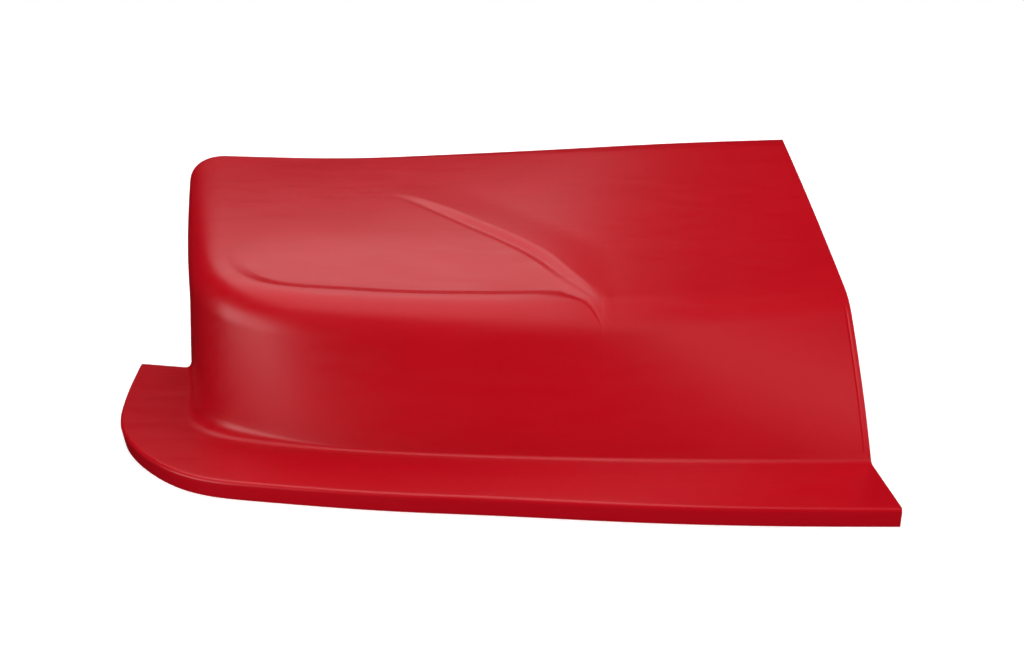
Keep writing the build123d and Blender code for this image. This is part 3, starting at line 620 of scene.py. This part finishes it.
def threaded_zinc(name, axis):
    """Zinc plate with a thread cut in it along one axis."""
    finish = Finish(name, ZINC, 0.34, DULL_METAL)
    finish.mottle(finish.noise(0.004), 0.12)
    finish.roughen(finish.noise(0.002), 0.10)
    thread = finish.node("ShaderNodeTexWave", Vector=finish.place,
                         Scale=2 * math.pi / (WAVE_FACTOR * THREAD_PITCH))
    thread.bands_direction = axis
    finish.bumps((thread.outputs["Fac"], THREAD_DEPTH), (finish.noise(0.0006), 0.000006))
    return finish.material


def spring_steel():
    finish = Finish("phosphated_steel", (0.035, 0.035, 0.038), 0.48, 0.7)
    finish.mottle(finish.noise(0.004), 0.25)
    finish.roughen(finish.noise(0.002), 0.10)
    finish.bumps((finish.noise(0.0005), 0.00001))
    return finish.material


def powder_coat():
    finish = Finish("black_powder_coat", (0.012, 0.012, 0.013), 0.42)
    finish.mottle(finish.noise(0.010), 0.20)
    finish.roughen(finish.noise(0.006), 0.07)
    finish.bumps((finish.noise(0.0012, detail=1.0), 0.00004))
    return finish.material


def black_oxide():
    finish = Finish("black_oxide", (0.022, 0.022, 0.026), 0.36, 0.8)
    finish.mottle(finish.noise(0.005), 0.30)
    finish.roughen(finish.noise(0.002, (1, 1, 8)), 0.10)
    finish.bumps((finish.noise(0.0006), 0.00001))
    return finish.material


def black_nylon():
    finish = Finish("black_nylon", (0.010, 0.010, 0.010), 0.58)
    finish.mottle(finish.noise(0.004), 0.20)
    finish.roughen(finish.noise(0.003), 0.06)
    finish.bumps((finish.noise(0.0004), 0.00002))
    return finish.material


def finishes():
    """Every CAD node that stays takes the finish of its material slot."""
    by_slot = {
        "aluminium": rolled_aluminium(),
        "aluminium_rod": drawn_aluminium("drawn_rod", (1, 10, 40)),
        "brace_tube": drawn_aluminium("drawn_tube", (1, 1, 60)),
        "zinc_steel": zinc_plate(),
        "spring_steel": spring_steel(),
        "bracket_steel": powder_coat(),
        "collar_steel": black_oxide(),
        "black_plastic": black_nylon(),
    }
    by_node = {"rear_studs": threaded_zinc("threaded_studs", "Z")}
    for subpart in frame["record"]["subparts"]:
        name = subpart["node"]
        if name == "nose_skin":
            continue
        mesh = NODES[name].data
        mesh.materials.clear()
        mesh.materials.append(by_node.get(name, by_slot[subpart["material_slot"]]))


# ---------------------------------------------------------------- the studio
CAMERA_AT = (-0.464, -2.010, 0.4405)
CAMERA_PITCH = math.radians(75)
FLOOR_GLOW = 0.5      # the paper is lit from below, as on a light table
AROUND = 0.17         # light from all round
SOFTBOX = 1.4         # brightness of the softboxes' faces
SOFT_SPREAD = math.radians(100)   # how wide each soft light is in the sky
FLOOR_DROP = 0.0005   # the paper lies this far below the part
FLOOR_HALF = 9.0


def camera():
    data = bpy.data.cameras.new("camera")
    data.lens = 50
    seen_from = add("camera", data)
    seen_from.location = CAMERA_AT
    seen_from.rotation_euler = (CAMERA_PITCH, 0, 0)
    SCENE.camera = seen_from


def softbox(name, place, target, width, depth, brightness):
    """A rectangular light that shows as a reflection; 'brightness' is that of its face."""
    data = bpy.data.lights.new(name, "AREA")
    data.shape = "RECTANGLE"
    data.size = width
    data.size_y = depth
    data.energy = brightness * math.pi * width * depth
    lamp = add(name, data)
    lamp.location = place
    lamp.rotation_euler = (Vector(target) - Vector(place)).to_track_quat("-Z", "Y").to_euler()
    lamp.visible_camera = False
    lamp.visible_diffuse = False


def plain_material(name, color, glow=0.0):
    material = bpy.data.materials.new(name)
    material.use_nodes = True
    shader = material.node_tree.nodes["Principled BSDF"]
    shader.inputs["Base Color"].default_value = (*color, 1)
    shader.inputs["Roughness"].default_value = 0.9
    shader.inputs["Specular IOR Level"].default_value = 0.0
    shader.inputs["Emission Color"].default_value = (1, 1, 1, 1)
    shader.inputs["Emission Strength"].default_value = glow
    return material


def paper_floor():
    """Pale paper that catches the shadow but neither lights the part nor shows in its gloss."""
    z = CAD_LOW.z - FLOOR_DROP
    corners = [(-1, -1), (1, -1), (1, 1), (-1, 1)]
    mesh = bpy.data.meshes.new("floor")
    mesh.from_pydata([(x * FLOOR_HALF, y * FLOOR_HALF, z) for x, y in corners], [], [(0, 1, 2, 3)])
    mesh.materials.append(plain_material("floor_paper", (0.85, 0.85, 0.85), FLOOR_GLOW))
    floor = add("floor", mesh)
    floor.visible_diffuse = False
    floor.visible_glossy = False
    floor.visible_shadow = False      # lets the floor_light through


def soft_light(name, azimuth, elevation, level):
    """Broad light that shades the part but doesn't show in its gloss. Azimuth 0 is the front."""
    data = bpy.data.lights.new(name, "SUN")
    data.angle = SOFT_SPREAD
    data.energy = level * math.pi
    data.cycles.use_multiple_importance_sampling = False
    lamp = add(name, data)
    lamp.rotation_euler = (math.radians(90 - elevation), 0, math.radians(azimuth))
    lamp.visible_glossy = False


def surroundings():
    """A white background behind the part, and a little light from all round."""
    world = bpy.data.worlds.new("studio")
    world.use_nodes = True
    world.cycles_visibility.glossy = False
    tree = world.node_tree
    ray = tree.nodes.new("ShaderNodeLightPath")
    level = tree.nodes.new("ShaderNodeMapRange")
    level.inputs["To Min"].default_value = AROUND
    level.inputs["To Max"].default_value = 1.0
    tree.links.new(ray.outputs["Is Camera Ray"], level.inputs["Value"])
    background = tree.nodes["Background"]
    background.inputs["Color"].default_value = (1, 1, 1, 1)
    tree.links.new(level.outputs["Result"], background.inputs["Strength"])
    SCENE.world = world


def studio():
    SCENE.view_settings.view_transform = "Standard"
    softbox("top_softbox", (-1.1, 0.5, 2.02), (-1.05, 0.2, 0.05), 2.3, 3.95, SOFTBOX)
    softbox("left_softbox", (-3.25, -1.41, 0.50), (-0.6, 0.0, 0.0), 3.0, 1.3, 1.8 * SOFTBOX)
    softbox("front_softbox", (0.90, -1.2, 2.2), (-0.1, -0.2, 0.0), 0.8, 0.8, 0.7 * SOFTBOX)
    soft_light("top_light", 0, 88, 0.46)
    soft_light("front_light", -20, 24, 0.48)
    soft_light("floor_light", 0, -35, 0.16)
    soft_light("inner_light", 95, 25, 0.15)
    soft_light("rear_light", 180, 25, 0.30)
    surroundings()
    paper_floor()


camera()
nose_skin()
centre_flange()
finishes()
studio()
